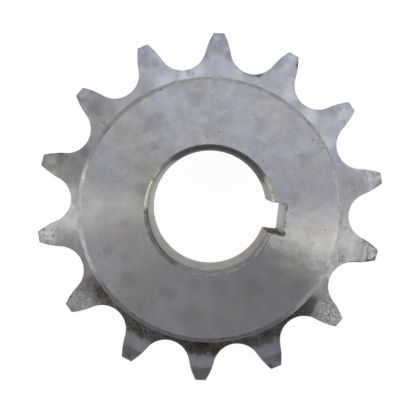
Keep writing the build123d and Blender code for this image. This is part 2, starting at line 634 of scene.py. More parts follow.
# %% The hub's side
WALL_RINGS = 4
rim_xy = circles(rim[:, 0]) * (1 - outer * outer_nicks / hub_radius)[..., None]
add_rings("hub edge", rim_xy, rim[:, 1:] - sunk * inner_nicks, rim_dirt.clip(0, 1), rim_glint)
wall_z = np.linspace(*hub_profile[split - 1 : split + 1, 1], WALL_RINGS + 2)[1:-1]
hub_r = np.append(np.full(WALL_RINGS, hub_radius), hub_profile[split:, 0])
hub_z = np.append(wall_z, hub_profile[split:, 1])
add_rings("hub side", circles(hub_r), hub_z)
print(f"hub from {1e3 * length:.1f} down to {1e3 * hub_z.min():.1f} mm")

# %% [markdown]
# ## The plate and the teeth
#
# A chain has to slide down over the teeth sideways, so both sides of each tooth lean in
# towards its tip. That relief is turned with a form tool whose radius is the pitch of the
# chain. The hob then cuts the gaps through plate and relief together, which is why the
# relief shows on the teeth and not in the gaps. Here it is a height worked out from the
# radius of each point, so it needs no cut at all.

# %% The relief of the teeth
side_chord = np.array([relief_reach, relief_depth])
half_chord = np.linalg.norm(side_chord) / 2
rise = np.sqrt(pitch**2 - half_chord**2)
side_centre_r = relief_radius + relief_reach / 2 - rise * relief_depth / (2 * half_chord)
side_centre_z = relief_depth / 2 + rise * relief_reach / (2 * half_chord)


def relief(r):
    """How far the side of a tooth lies below the plate's face at radius r: an arc."""
    depth = side_centre_z - np.sqrt(pitch**2 - (r - side_centre_r) ** 2)
    return np.where(r > relief_radius, depth, 0)


print(f"relief at the tips {1e3 * relief(tip_radius):.2f} mm deep")

# %% [markdown]
# The plate's rings run out from the hub to the line where the relief begins, then to the
# broken edge, and round it. The edge's inner line is the outline moved in along its normals
# by the width of the break. Each point of the line before it lies straight in towards the
# axis from a point of that inner line, so the grid does not fold at a chip.

# %% The plate's rings
PLATE_RINGS = 5
RELIEF_RINGS = 8
land = 0.35 * MM
inner_line = outline - tooth_break[:, None] * outward
inner_radius = np.hypot(*inner_line.T)
bend_line = inner_line * (np.minimum(relief_radius, inner_radius - land) / inner_radius)[:, None]
quarter = np.linspace(0, np.pi / 2, EDGE_STEPS + 1)
edge_line = outline - (tooth_break[:, None] * (1 - np.sin(quarter))[:, None, None]) * outward
edge_drop = tooth_break * (1 - np.cos(quarter))[:, None]
plate_start = circles([hub_r[-1]])[0]
plate_xy = np.concatenate([between(plate_start, bend_line, np.linspace(0, 1, PLATE_RINGS + 1)[1:]),
                           between(bend_line, inner_line, np.linspace(0, 1, RELIEF_RINGS + 1)[1:-1]),
                           edge_line])
plate_drop = relief(np.hypot(*np.moveaxis(plate_xy, 2, 0)))
plate_drop[-len(quarter):] += edge_drop
print(len(plate_xy), "rings on the plate")

# %% [markdown]
# Dirt lies in the chips and, more thinly, here and there along the teeth's broken edge. A
# high power of the way from the hub to the edge keeps it close to that edge.

# %% Dirt on the teeth's edges
DIRT_POWER = 6
full_chip = 0.15 * MM
edge_dirt = np.clip(tooth_chip / full_chip, 0, 1)
edge_dirt = np.maximum(edge_dirt, 0.5 * np.clip(1.3 * wander(20, 160), 0, 1))
at_edge = np.linspace(0, 1, len(plate_xy) - len(quarter)) ** DIRT_POWER
at_edge = np.append(at_edge, np.ones(len(quarter)))[:, None]
add_rings("plate", plate_xy, plate - plate_drop, at_edge * edge_dirt)
print(len(rings), "rings so far")

# %% [markdown]
# ## The gaps' walls and the back
#
# The walls go straight down from the upper edge to the lower one. The back of a tooth is the
# mirror image of its front, so the same rings serve again with their heights turned over.
# Beyond them the back is flat as far as the bore, whose lower edge mirrors the upper one,
# and the bore's own wall closes the grid into a ring.

# %% The gaps' walls and the back
FLANK_RINGS = 6
BACK_RINGS = 4
BORE_RINGS = 5
flank_top = plate - plate_drop[-1]
shares = np.linspace(0, 1, FLANK_RINGS + 1)[1:, None]
add_rings("flank", np.broadcast_to(outline, (FLANK_RINGS, around, 2)),
          (1 - shares) * flank_top + shares * (plate - flank_top))
back_count = RELIEF_RINGS + len(quarter)
add_rings("back", plate_xy[-2 : -back_count - 1 : -1], plate_drop[-2 : -back_count - 1 : -1])
shares = np.linspace(0, 1, BACK_RINGS + 1)[1:]
add_rings("back", between(bend_line, mouth_xy[-1], shares), np.zeros(BACK_RINGS))
add_rings("back", mouth_xy[-2:-4:-1], length - mouth_z[-2:-4:-1])
add_rings("hole mouth", mouth_xy[-4::-1], length - mouth_z[-4::-1])
shares = np.linspace(0, 1, BORE_RINGS + 2)[1:-1, None]
add_rings("hole", np.broadcast_to(hole_edge, (BORE_RINGS, around, 2)),
          (1 - shares) * (length - mouth_z[0]) + shares * mouth_z[0])
grid = np.stack(rings)
print("grid:", len(grid), "rings of", around, "points,", 2 * len(grid) * around, "triangles")

# %% [markdown]
# ## The mesh
#
# The rings close on themselves both ways, so the skin is a bent doughnut of four-sided faces
# with no seam and no pole. The volume that they enclose tells whether they face outwards:
# it comes out negative if they do not, and then every face is turned over.

# %% The mesh
ring_count = len(grid)
index = np.arange(ring_count * around).reshape(ring_count, around)
ahead = np.roll(index, -1, 1)
faces = np.stack([index, ahead, np.roll(ahead, -1, 0), np.roll(index, -1, 0)], 2).reshape(-1, 4)
a, b, c, d = (grid.reshape(-1, 3)[faces[:, k]] for k in range(4))
face_normals = np.cross(c - a, d - b)
volume = np.einsum("ij,ij->", (a + b + c + d) / 4, face_normals) / 6
if volume < 0:
    faces = faces[:, ::-1]
smallest = np.linalg.norm(face_normals, axis=1).min() / 2
print(f"volume {1e9 * abs(volume):.0f} mm3, smallest face {1e12 * smallest:.0f} square micrometres")

# %% [markdown]
# ## The piece
#
# The mesh becomes an object that takes the solid's place and rides on its one body. Small
# roundings beside wide flats would tilt the shading of the flats, so the normals are
# weighted by face area, which keeps a machined face flat. Marking edges sharp would work
# too, but the softly broken edges would then be lost.

# %% The piece
skin = bpy.data.meshes.new("sprocket_skin")
skin.from_pydata(grid.reshape(-1, 3), [], faces)
# The first number holds dirt and painted shade, the second painted highlights.
for name, rows in (("dirt_and_shade", dark_rings), ("glint", bright_rings)):
    skin.attributes.new(name, "FLOAT", "POINT").data.foreach_set("value", np.ravel(rows))
skin.shade_smooth()
sprocket = bpy.data.objects.new("sprocket_skin", skin)
bpy.context.scene.collection.objects.link(sprocket)
flatten = sprocket.modifiers.new("flat faces stay flat", "WEIGHTED_NORMAL")
flatten.keep_sharp = False
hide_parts("chain_sprocket")
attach(sprocket, "root")
print(len(skin.vertices), "points and", len(skin.polygons), "faces")

# %% [markdown]
# ## Helpers for the finishes
#
# One function turns a hex colour into the linear colour that a shader works in, and one adds
# a node with its settings and its links. Everything below is made of those two.

# %% Colours and nodes
def linear(code):
    """An sRGB hex colour as the linear RGBA that the shader works in."""
    value = np.array([int(code[k : k + 2], 16) for k in (1, 3, 5)]) / 255
    value = np.where(value <= 0.04045, value / 12.92, ((value + 0.055) / 1.055) ** 2.4)
    return (*value, 1.0)


def add(tree, kind, sockets=None, out=0, **settings):
    """Adds a node and gives back one of its outputs.

    settings are the node's properties. sockets holds, for each input, a value or the output
    that feeds it.
    """
    node = tree.nodes.new("ShaderNode" + kind)
    for name, value in settings.items():
        setattr(node, name, value)
    for socket, value in (sockets or {}).items():
        if isinstance(value, bpy.types.NodeSocket):
            tree.links.new(value, node.inputs[socket])
        else:
            node.inputs[socket].default_value = value
    return node.outputs[out] if len(node.outputs) else node


print("mid grey in the shader:", [round(float(v), 3) for v in linear("#808080")[:3]])

# %% [markdown]
# ## What all the cuts share
#
# Bare steel that has been handled and stored is never one grey. Cutting oil and fingers
# leave soft cloudy films, violet in one place and yellow in another. These patterns are the
# same on every cut, so they are written once. Every size is in millimetres on the part.

# %% Places and clouds
FLATTEN = (1, 1, 0)
NO_SHIFT = (0, 0, 0)


def part_mm(tree):
    """The place on the part, in millimetres."""
    place = add(tree, "TexCoord", out="Object")
    return add(tree, "VectorMath", {0: place, "Scale": 1 / MM}, operation="SCALE")


def polar(tree, place):
    """The place flattened, its distance from the axis, and its direction from the axis."""
    flat = add(tree, "VectorMath", {0: place, 1: FLATTEN}, operation="MULTIPLY")
    radius = add(tree, "VectorMath", {0: flat}, out="Value", operation="LENGTH")
    return flat, radius, add(tree, "VectorMath", {0: flat}, operation="NORMALIZE")


def cloud(tree, place, size, contrast, detail=3.0, shift=NO_SHIFT):
    """Soft patches about size mm across, from 0 to 1, sharper as contrast grows.

    shift takes them from another part of the noise, so that two clouds do not agree.
    """
    where = add(tree, "VectorMath", {0: place, 1: shift}, operation="ADD")
    noise = add(tree, "TexNoise", {"Vector": where, "Scale": 1 / size, "Detail": detail, "Roughness": 0.55})
    return add(tree, "MapRange", {"Value": noise, "From Min": 0.5 - 0.5 / contrast,
                                  "From Max": 0.5 + 0.5 / contrast}, interpolation_type="SMOOTHSTEP")


def stretched(tree, place, per_mm, detail):
    """A noise with its own number of changes per millimetre along each axis, for long marks."""
    where = add(tree, "VectorMath", {0: place, 1: per_mm}, operation="MULTIPLY")
    return add(tree, "TexNoise", {"Vector": where, "Scale": 1.0, "Detail": detail})


def meeting(tree, *patterns):
    """Where all the given patterns meet: their product."""
    together = patterns[0]
    for pattern in patterns[1:]:
        together = add(tree, "Math", {0: together, 1: pattern}, operation="MULTIPLY")
    return together


# %% [markdown]
# Swarf and rust leave pin pricks. A Voronoi texture scatters one point in each cell of a
# lattice, and its colour is a random number for the cell. That number decides whether the
# cell has a prick at all and how large it is, so the pricks are neither evenly spread nor
# all alike. On a flat face two dimensions are enough.

# %% Pin pricks
def pricks(tree, place, spacing, radius, share, flat=True, shift=NO_SHIFT):
    """Ragged dots of the given radius, one in a share of the cells of the given spacing."""
    where = add(tree, "VectorMath", {0: place, 1: shift}, operation="ADD")
    cells = {"Vector": where, "Scale": 1 / spacing, "Randomness": 1.0}
    kind = "2D" if flat else "3D"
    chosen = add(tree, "TexVoronoi", cells, out="Color", voronoi_dimensions=kind)
    chosen = add(tree, "SeparateColor", {0: chosen})
    gap = add(tree, "TexVoronoi", cells, out="Distance", voronoi_dimensions=kind)
    size = add(tree, "MapRange", {"Value": chosen, "From Max": share, "To Min": 1.5 * radius / spacing,
                                  "To Max": 0.3 * radius / spacing}, clamp=False)
    fill = add(tree, "Math", {0: size, 1: gap}, operation="SUBTRACT")
    return add(tree, "MapRange", {"Value": fill, "From Max": 0.4 * radius / spacing})


# %% [markdown]
# Some marks have a known place: a stain by the keyway, a rough patch on one tooth. Those are
# listed by their angle below the picture's right and their distance from the axis, and a
# noise pushes their outlines about so that none of them is round. Others cover a whole side
# of a ring, and two angles are enough for them.

# %% Placed marks
def placed(tree, flat, spots, ragged=1.8):
    """1 at each listed spot (angle, radius, size), falling to 0 at its ragged edge."""
    push = add(tree, "TexNoise", {"Vector": flat, "Scale": 0.45, "Detail": 4.0}, out="Color")
    push = add(tree, "VectorMath", {0: push, 1: (0.5, 0.5, 0.5)}, operation="SUBTRACT")
    total = None
    for angle, radius, size in spots:
        turn = np.radians(angle)
        spot = in_picture(radius * np.cos(turn), -radius * np.sin(turn), 0)
        warped = add(tree, "VectorMath", {0: push, 1: (ragged * size, ragged * size, 0), 2: flat},
                     operation="MULTIPLY_ADD")
        gap = add(tree, "VectorMath", {0: warped, 1: spot}, out="Value", operation="DISTANCE")
        here = add(tree, "MapRange", {"Value": gap, "From Min": 0.2 * size, "From Max": size,
                                      "To Min": 1.0, "To Max": 0.0}, interpolation_type="SMOOTHSTEP")
        total = here if total is None else add(tree, "Math", {0: total, 1: here}, operation="MAXIMUM")
    return total


def arc(tree, way, middle, half, soft):
    """1 within half degrees of an angle below the picture's right, 0 beyond soft more.

    The dot product of two directions is the cosine of the angle between them.
    """
    turn = np.radians(middle)
    toward = in_picture(np.cos(turn), -np.sin(turn), 0)
    along = add(tree, "VectorMath", {0: way, 1: toward}, out="Value", operation="DOT_PRODUCT")
    return add(tree, "MapRange", {"Value": along, "From Min": np.cos(np.radians(half + soft)),
                                  "From Max": np.cos(np.radians(half))}, interpolation_type="SMOOTHSTEP")


# %% [markdown]
# ## A layered steel
#
# Every cut is the same metal, so one function puts the layers of a finish together: stains
# over the bare colour, dullness over the tool's own roughness, and relief for the bump. The
# tool's marks stretch a highlight across themselves, and that is the anisotropy. It needs
# to know which way the marks run. A node group could hold the same layers, but a function
# lets each cut list its own, in the order in which they lie on the steel.

# %% A layered steel
AROUND_AXIS = "around"
ALONG_AXIS = "along"


def layered_steel(name, tree, base, stains, roughness, dullness, relief, marks, soil=0.0):
    """Finishes a steel from its layers.

    base is (pattern, colour where it is 0, colour where it is 1). stains are (pattern,
    strength, colour), dullness (pattern, added roughness) and relief (pattern, height in mm).
    marks says whether the tool went around the axis or along it. soil is a pattern that is
    no metal and hides the shine: dried dirt, and in places painted shade.
    """
    pattern, first, second = base
    colour = add(tree, "Mix", {0: pattern, 6: linear(first), 7: linear(second)}, out=2, data_type="RGBA")
    for pattern, strength, code in stains:
        share = add(tree, "Math", {0: pattern, 1: strength}, operation="MULTIPLY", use_clamp=True)
        colour = add(tree, "Mix", {0: share, 6: colour, 7: linear(code)}, out=2, data_type="RGBA")
    for pattern, amount in dullness:
        roughness = add(tree, "Math", {0: pattern, 1: amount, 2: roughness}, operation="MULTIPLY_ADD")
    height = 0.0
    for pattern, amount in relief:
        height = add(tree, "Math", {0: pattern, 1: amount, 2: height}, operation="MULTIPLY_ADD")
    bump = add(tree, "Bump", {"Height": height, "Distance": MM, "Strength": 1.0})
    if marks == AROUND_AXIS:
        tangent = add(tree, "Tangent", direction_type="RADIAL", axis="Z")
    else:
        tangent = add(tree, "CombineXYZ", {2: 1.0})
    metal = 1.0
    if soil:
        metal = add(tree, "Math", {0: 1.0, 1: soil}, operation="SUBTRACT", use_clamp=True)
        roughness = add(tree, "Math", {0: soil, 1: 0.3, 2: roughness}, operation="MULTIPLY_ADD")
    steel = add(tree, "BsdfPrincipled", {"Base Color": colour, "Metallic": metal, "Roughness": roughness,
                                         "Anisotropic": 0.8, "Anisotropic Rotation": 0.25,
                                         "Normal": bump, "Tangent": tangent})
    add(tree, "OutputMaterial", {0: steel})
    print(f"{name}: {len(tree.nodes)} nodes")


# %% [markdown]
# Each cut gets a material of its own in the skin's next slot. It starts out empty, because
# the nodes that Blender puts into a new material would only be in the way.

# %% A slot for each cut
def new_steel(name):
    """An empty material in the skin's next slot: its name and its tree."""
    material = bpy.data.materials.new(name)
    material.use_nodes = True
    material.node_tree.nodes.clear()
    skin.materials.append(material)
    return name, material.node_tree


# %% [markdown]
# ## Marks on the turned faces
#
# The face of the hub and the sides of the teeth show most of the part's history. Each list
# holds one kind of mark as (angle below the picture's right, distance from the axis, size),
# in degrees and millimetres. First come the marks of handling: greasy smudges on the face,
# rough patches where a chain has ridden, stains, small dark marks, spots that are partly
# metal worn bare and partly painted light, and grit that has been pressed into the teeth near
# their edges.

# %% Marks of handling
smudges = [(84, 15.6, 2.6), (25, 20.2, 3.4), (212, 16.6, 2.4), (228, 17.4, 1.6), (118, 19.5, 2.2),
           (62, 18.6, 3.0), (140, 22.0, 2.6), (196, 14.2, 2.0), (40, 24.0, 2.8), (100, 23.0, 3.2),
           (300, 20.0, 2.4), (332, 22.5, 2.2), (262, 22.5, 2.6), (352, 17.5, 2.0), (12, 15.4, 1.8),
           (34, 16.5, 2.2), (150.5, 19.9, 1.4), (159, 22.6, 1.8), (172, 17.5, 1.6), (238, 21.0, 3.4),
           (13.5, 34.6, 1.6), (198, 31.8, 2.4), (275, 36.0, 2.2), (8, 30.2, 1.0), (350, 31.5, 1.8),
           (199, 34.6, 2.2), (46, 33.0, 1.6), (12, 36.5, 2.8), (17.5, 35.0, 2.6)]
scaly = [(15, 37.0, 1.8), (42, 35.6, 4.2), (146, 34.5, 4.4), (170, 36.2, 3.0), (348, 36.2, 2.6),
         (173, 37.0, 2.2), (327, 36.8, 2.4), (135, 30.4, 2.2), (70, 30.6, 2.6), (118, 30.4, 2.4),
         (20.6, 31.0, 1.4), (197, 36.4, 1.2), (262, 30.0, 1.2), (218, 29.6, 1.0)]
stains = [(143, 30.0, 2.3), (93, 30.4, 3.0), (67, 30.0, 2.4), (119, 30.4, 3.0),
          (98, 31.6, 1.6), (88, 31.8, 1.4)]
dark_marks = [(200.2, 35.0, 0.8), (200.2, 36.9, 0.7), (18.4, 15.9, 0.7), (21.4, 13.4, 0.6),
              (289.9, 31.2, 1.5), (123.0, 37.4, 1.6), (152.2, 12.8, 0.9), (93, 29.8, 1.8),
              (17, 38.0, 0.5), (285, 31.0, 0.7), (100, 29.6, 1.4), (108, 29.6, 1.2),
              (70, 38.0, 1.2), (148, 36.8, 0.9)]
# Partly metal worn bare, partly painted light: spots made paler where light falls.
bare_and_lit = [(40, 36.8, 3.4), (43, 34.0, 3.4), (38, 33.0, 2.6), (36, 29.6, 3.0), (28, 29.4, 2.6),
        (172, 34.5, 3.2), (174, 30.6, 3.6), (181, 31.2, 1.8), (141.5, 34.6, 1.8),
        (324.5, 37.2, 3.0), (299, 37.6, 1.6), (222, 37.6, 2.0), (272, 37.4, 1.2)]
gritty = [(20.8, 30.8, 1.3), (19.6, 32.6, 1.2), (18.5, 34.6, 1.2), (17.4, 36.6, 1.2), (12.8, 35.0, 1.0),
          (345.5, 34.8, 1.2), (344.0, 32.4, 1.2), (341.0, 30.4, 1.4), (177.0, 36.6, 1.3),
          (175.0, 34.2, 1.0), (169.5, 35.6, 1.2), (201.5, 36.8, 1.4), (200.6, 33.6, 1.2),
          (44.5, 33.4, 1.6), (42.0, 35.6, 1.6), (151.0, 34.0, 1.4), (150.5, 36.6, 1.2),
          (118.0, 37.4, 1.4), (66.0, 37.2, 1.2), (93.0, 37.0, 1.2), (327.5, 35.4, 1.2)]
print(sum(map(len, (smudges, scaly, stains, dark_marks, bare_and_lit, gritty))), "marks of handling")

# %% [markdown]
# Patches as large as a tooth are painted lighter or darker: painted light and painted shade,
# such as the darker tips of the lower teeth, which face away from the light. Oil films tint
# the rest, which lean to yellow or to blue, as old oil and a fresh cut do.

# %% Painted light and shade, and films of oil
lit_spots = [(30, 29.4, 4.0), (46, 31.4, 2.6), (41, 36.0, 4.4), (68.4, 35.8, 2.6), (65, 29.6, 1.8),
       (144.8, 30.5, 2.6), (174, 30.3, 4.6), (173, 37.3, 2.4), (250, 29.0, 2.6), (259, 29.0, 2.2),
       (318, 30.2, 2.4), (330, 29.6, 2.6), (344, 33.6, 2.9), (350, 38.0, 1.6), (265, 30.0, 2.2),
       (305, 30.2, 2.6), (93.5, 34.9, 1.4)]
shade_spots = [(147.0, 33.6, 1.8), (60.5, 34.2, 1.8), (14.5, 34.8, 3.0), (12.5, 36.0, 1.8), (17.0, 36.0, 1.6),
       (120.7, 32.8, 2.8), (120.7, 34.6, 2.0), (249.0, 34.2, 1.8), (278.0, 33.4, 2.0), (93.5, 38.0, 1.6),
       (119.5, 38.0, 1.5), (68.5, 38.2, 1.2), (221.8, 33.4, 3.0), (246.4, 35.2, 2.6), (271.5, 36.0, 3.6),
       (268, 33.6, 2.0), (295.0, 35.2, 2.6), (287.4, 31.2, 1.7), (322, 34.8, 2.2), (195, 35.6, 1.6),
       (198, 35.2, 2.0), (204, 29.8, 2.0), (203, 28.4, 1.4)]
sallow = [(26, 19.0, 8.0), (186, 30.5, 4.0), (176, 24.0, 5.0), (172, 34.0, 4.0), (196, 34.0, 3.6),
          (205, 16.0, 4.0)]
bluish = [(316, 23.0, 8.0), (292, 20.0, 7.0), (250, 30.0, 4.0), (262, 30.5, 4.4), (276, 31.0, 4.0),
          (300, 33.0, 3.0), (250, 22.0, 7.0), (322, 29.6, 3.0)]
print(sum(map(len, (lit_spots, shade_spots, sallow, bluish))), "films of oil")

# %% [markdown]
# ## Turned steel
#
# A facing tool leaves fine rings, and each ring is a tiny sawtooth whose long side leans
# outwards. That does two things to the eye. Light is spread across the rings and kept sharp
# along them, so reflections fan out from the axis. And the lean makes each side of the face
# mirror what stands on its own side of the room. The sawtooth is far too fine to draw, so
# its mean slope is given to the surface as a very flat cone of bump, and the spread as
# anisotropy. Rings half a millimetre apart stand in for the finer ones.

# %% Turned steel
LEAN = 0.12


def tool_rings(tree, radius, way, z, per_mm):
    """Rings left by the tool: a noise of the radius that changes slowly along the ring."""
    across_rings = add(tree, "Math", {0: radius, 1: z}, operation="ADD")
    slow = add(tree, "VectorMath", {0: way, "Scale": 1.5}, operation="SCALE")
    quick = add(tree, "CombineXYZ", {0: across_rings})
    where = add(tree, "VectorMath", {0: quick, 1: (per_mm, 0, 0), 2: slow}, operation="MULTIPLY_ADD")
    return add(tree, "TexNoise", {"Vector": where, "Scale": 1.0, "Detail": 2.0})


name, tree = new_steel("turned steel")
place = part_mm(tree)
flat, radius, way = polar(tree, place)
z = add(tree, "SeparateXYZ", {0: place}, out="Z")
rings_cut = tool_rings(tree, radius, way, z, 2.0)
films = cloud(tree, place, 9.0, 2.2)
tints = cloud(tree, place, 4.5, 2.6, shift=(40, 7, 0))
patches = cloud(tree, place, 3.2, 1.8)
mottle = cloud(tree, place, 1.1, 1.6, shift=(9, 5, 0))
grain = add(tree, "TexNoise", {"Vector": place, "Scale": 1.6, "Detail": 3.0})
other_place = add(tree, "VectorMath", {0: place, 1: (0, 70, 0)}, operation="ADD")
waves = add(tree, "TexNoise", {"Vector": other_place, "Scale": 0.28, "Detail": 1.0})
dots = pricks(tree, flat, 2.4, 0.13, 0.22)
# Painted glints: small bright dots over the turned steel.
glint_dots = pricks(tree, flat, 3.4, 0.12, 0.14, shift=(13, 31, 0))
dirt_and_shade = add(tree, "Attribute", out="Fac", attribute_name="dirt_and_shade")
print("the turned steel's clouds, grain and dots:", len(tree.nodes), "nodes")

# %% [markdown]
# The listed marks belong to the front. The back has the same angles and distances, so there
# they are asked for at places half a metre away, where no mark is listed.

# %% Marks on the front only
FAR_AWAY = 500.0
upper = add(tree, "Math", {0: z, 1: 3.0}, operation="GREATER_THAN")
sideways = add(tree, "Math", {0: upper, 1: -FAR_AWAY, 2: FAR_AWAY}, operation="MULTIPLY_ADD")
aside = add(tree, "CombineXYZ", {0: sideways})
front = add(tree, "VectorMath", {0: flat, 1: aside}, operation="ADD")
smudge = placed(tree, front, smudges)
scale = placed(tree, front, scaly)
stain = placed(tree, front, stains)
marks = placed(tree, front, dark_marks)
worn_and_lit = placed(tree, front, bare_and_lit)
painted_light = placed(tree, front, lit_spots, 1.0)
painted_shade = placed(tree, front, shade_spots, 1.0)
yellowed = placed(tree, front, sallow, 1.0)
blued = placed(tree, front, bluish, 1.0)
coarse = meeting(tree, pricks(tree, flat, 0.62, 0.16, 0.6, shift=(17, 3, 0)), placed(tree, front, gritty))
print("with the listed marks:", len(tree.nodes), "nodes")

# %% [markdown]
# ## Dirt and painted shadow at the foot of the hub
#
# At the foot of the hub on its lower side, where the hub's shadow falls, a ragged band is
# painted dark: painted shadow, with dried oil and grit in it. Beyond the band the plate is
# painted paler than anywhere else: painted light.
# Both are rings of the plate cut off by an angle. Their common edge is the radius, pushed
# about by a noise.

# %% Foot dirt and shadow, and the lit band
outside_hub = add(tree, "Math", {0: radius, 1: hub_radius / MM - 0.2}, operation="GREATER_THAN")
outside_hub = meeting(tree, outside_hub, upper)
ragged = add(tree, "TexNoise", {"Vector": place, "Scale": 0.8, "Detail": 3.0})
edge_of_dirt = add(tree, "Math", {0: ragged, 1: 3.0, 2: radius}, operation="MULTIPLY_ADD")
# Painted shadow with dirt in it: the band at the hub's lower foot.
foot = add(tree, "MapRange", {"Value": edge_of_dirt, "From Min": 32.6, "From Max": 34.6,
                              "To Min": 1.0, "To Max": 0.0}, interpolation_type="SMOOTHSTEP")
foot = meeting(tree, foot, arc(tree, way, 97, 50, 5), outside_hub)
specks = pricks(tree, flat, 0.62, 0.07, 0.6, shift=(31, 11, 0))
foot_chips = meeting(tree, foot, specks)
foot_blotch = meeting(tree, foot, cloud(tree, place, 0.9, 3.0))
grit = meeting(tree, foot, cloud(tree, place, 0.42, 3.4, 1.0, (0, 0, 33)))
dark_grit = meeting(tree, foot, cloud(tree, place, 0.55, 3.4, 1.0, (0, 0, 66)))
# Painted light: the plate just beyond the shadow.
lit_band = add(tree, "MapRange", {"Value": edge_of_dirt, "From Min": 33.6, "From Max": 34.8},
            interpolation_type="SMOOTHSTEP")
tipward = add(tree, "MapRange", {"Value": edge_of_dirt, "From Min": 35.2, "From Max": 38.6,
                                 "To Min": 1.0, "To Max": 0.15})
lit_band = meeting(tree, lit_band, arc(tree, way, 96, 31, 4), tipward, outside_hub)
print("with the foot of the hub:", len(tree.nodes), "nodes")

# %% [markdown]
# Other marks follow the part's own forms: a cool pale painted highlight over the top of the
# plate, a darker warm patch at its left, old oil in a yellow halo on the left of the bore, and
# pale flecks along the hub's lower rim.
#
# Two teeth are odd ones. One is painted dark beside the hub up to a straight edge, and paler
# beyond it: painted shadow and painted light. On another, the form tool's cut has kept a dull
# skin up to its own edge.

# %% The top's highlight, other marks and odd teeth
WEDGE_EDGE = 30.5
FORM_EDGE = 34.4
wedge_way = in_picture(0.888, -0.454, 0)
# Painted highlight: the top of the plate made paler and cooler.
top_highlight = meeting(tree, arc(tree, way, 292, 44, 12), outside_hub)
warm_left = meeting(tree, arc(tree, way, 208, 14, 8), outside_hub)
halo = add(tree, "MapRange", {"Value": radius, "From Min": 13.8, "From Max": 16.5,
                              "To Min": 1.0, "To Max": 0.0}, interpolation_type="SMOOTHSTEP")
halo = meeting(tree, halo, arc(tree, way, 202, 18, 12))
by_rim = add(tree, "MapRange", {"Value": radius, "From Min": 24.0, "From Max": 25.5})
on_hub = add(tree, "Math", {0: z, 1: 20.0}, operation="GREATER_THAN")
flecks = meeting(tree, by_rim, on_hub, arc(tree, way, 96, 16, 6), specks)

# Painted shadow with a straight edge on one tooth, and painted light beyond it.
across_tooth = add(tree, "VectorMath", {0: front, 1: wedge_way}, out="Value", operation="DOT_PRODUCT")
wedge_shadow = add(tree, "MapRange", {"Value": across_tooth, "From Min": WEDGE_EDGE - 0.15,
                               "From Max": WEDGE_EDGE + 0.2, "To Min": 1.0, "To Max": 0.0})
wedge_shadow = meeting(tree, wedge_shadow, arc(tree, way, 48.5, 5, 5), outside_hub)
beyond = add(tree, "Math", {0: 1.0, 1: wedge_shadow}, operation="SUBTRACT")
beyond = meeting(tree, beyond, arc(tree, way, 42, 5, 3), outside_hub)

formed = add(tree, "MapRange", {"Value": radius, "From Min": FORM_EDGE - 0.1, "From Max": FORM_EDGE + 0.2})
near_tip = add(tree, "MapRange", {"Value": radius, "From Min": 36.1, "From Max": 36.9,
                                  "To Min": 1.0, "To Max": 0.0})
formed = meeting(tree, formed, near_tip, arc(tree, way, 15.5, 8, 1), outside_hub)
print("with the films:", len(tree.nodes), "nodes")

# %% [markdown]
# A rough patch on a tooth has three things in it: brown pits, pale chips, and hair-fine
# scratches that all run the same way. The relief of the teeth was cut with a form tool,
# which leaves it smoother than the plate.

# %% Rough patches and the relief
brown = meeting(tree, cloud(tree, place, 0.6, 3.0, 2.0), scale)
pale = meeting(tree, pricks(tree, flat, 0.95, 0.13, 0.5, shift=(3, 57, 0)), scale)
turned_about = add(tree, "VectorRotate", {"Vector": flat, "Angle": np.radians(52)}, rotation_type="Z_AXIS")
along_hair = add(tree, "VectorMath", {0: turned_about, 1: (0.35, 3.5, 1.0)}, operation="MULTIPLY")
hair = meeting(tree, cloud(tree, along_hair, 1.0, 5.0, 2.0), scale)
on_relief = add(tree, "MapRange", {"Value": radius, "From Min": relief_radius / MM - 0.1,
                                   "From Max": relief_radius / MM + 0.3})
print("with the rough patches:", len(tree.nodes), "nodes")

# %% [markdown]
# The layers now go over the bare steel in the order in which they came to be on it: the
# tool's own marks, then films, wear, painted light and painted shade, then stains, dried dirt
# and painted shadow, and last the specks and chips that lie on top of everything, among them
# painted glints.

# %% The turned steel's layers
layered_steel(
    name, tree, (films, "#B4B6BE", "#B6B3B0"),
    [(tints, 0.40, "#A3A0B0"), (top_highlight, 0.35, "#C8CCD8"), (patches, 0.25, "#6A6A6E"),
     (mottle, 0.14, "#66666A"), (grain, 0.08, "#6A6A6E"), (rings_cut, 0.10, "#6A6A6E"),
     (halo, 0.35, "#96967A"), (smudge, 0.25, "#6E6C66"), (scale, 0.30, "#BEBEC0"),
     (warm_left, 0.22, "#6E6C66"), (worn_and_lit, 0.5, "#D6D8DE"), (yellowed, 0.12, "#BEBCA2"),
     (blued, 0.14, "#A8AED0"), (painted_light, 0.35, "#E6E6E8"), (painted_shade, 0.45, "#66666A"),
     (lit_band, 0.7, "#C6C4D2"), (beyond, 0.35, "#F0F0F0"), (formed, 0.5, "#5E5E64"),
     (wedge_shadow, 0.55, "#545050"), (foot, 0.45, "#565048"), (stain, 0.6, "#4A433B"),
     (foot_blotch, 0.35, "#453D33"), (grit, 0.32, "#9A9484"), (dark_grit, 0.35, "#2A251E"),
     (brown, 0.5, "#5C5850"), (hair, 0.3, "#E4E4E8"), (pale, 0.45, "#ECECEE"),
     (foot_chips, 0.85, "#E0DCCE"), (flecks, 0.7, "#F0F0F2"), (dots, 0.6, "#3C3A40"),
     (glint_dots, 0.35, "#E4E6EE"), (marks, 0.75, "#35312B"), (coarse, 0.75, "#2E2C2A"),
     (dirt_and_shade, 0.9, "#24221E")],
    0.35, [(patches, 0.06), (mottle, 0.03), (scale, 0.14), (foot, 0.10), (dots, 0.2), (on_relief, -0.07)],
    [(radius, -LEAN), (waves, 0.05), (rings_cut, 0.012), (patches, 0.015), (mottle, 0.006),
     (grain, 0.010), (dots, -0.015), (brown, -0.03), (foot_blotch, -0.02)], AROUND_AXIS, dirt_and_shade)

